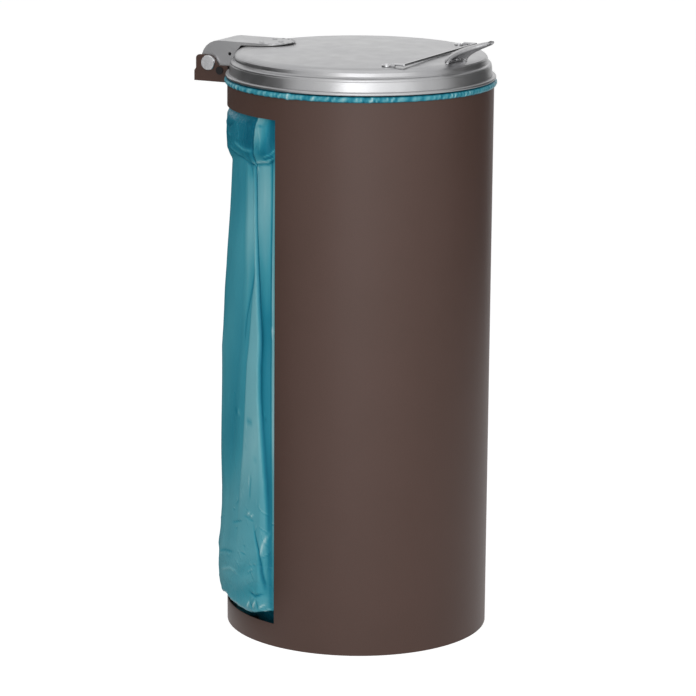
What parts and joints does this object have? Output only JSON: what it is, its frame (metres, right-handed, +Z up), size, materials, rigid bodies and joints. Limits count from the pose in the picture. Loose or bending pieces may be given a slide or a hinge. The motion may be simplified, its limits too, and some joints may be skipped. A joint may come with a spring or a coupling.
{
  "type": "steel waste bin",
  "caption": "Round free-standing steel waste bin with an open back, a film sack hung from a top ring, and a silver lid with a front grip that tips back on a rear hinge.",
  "frame": {"origin": "centre of the bin's underside, on the floor", "axes": "+Z up, +Y towards the lid's hinge and the open side, -Y towards the lid's grip, +X completes the right-handed frame"},
  "size_m": [0.409, 0.4968, 0.9192],
  "materials": {
    "brown_coat": "satin",
    "lid_silver": "satin",
    "bright_steel": "satin",
    "dark_steel": "satin",
    "zinc": "matte",
    "blue_film": "gloss"
  },
  "bodies": {
    "bin": {"shell": "brown_coat", "base_plate": "brown_coat", "sack_ring": "zinc", "sack": "blue_film", "hinge_bracket": "brown_coat", "backing_plate": "zinc", "bracket_screws": "zinc", "bracket_nuts": "zinc", "hinge_pin": "bright_steel", "pin_cap": "bright_steel", "hinge_washers": "zinc", "stop_pin": "dark_steel", "stop_cap": "dark_steel"},
    "lid": {"lid": "lid_silver", "lid_arm": "lid_silver", "arm_rivets": "lid_silver", "cross_bar": "bright_steel", "bar_rivets": "bright_steel", "grip": "lid_silver", "grip_rivets": "lid_silver"}
  },
  "joints": [
    {"name": "lid_hinge", "type": "hinge", "parent": "bin", "child": "lid", "pos_m": [0, 0.237, 0.854], "axis": [-1, 0, 0], "range_deg": [0, 100]}
  ]
}
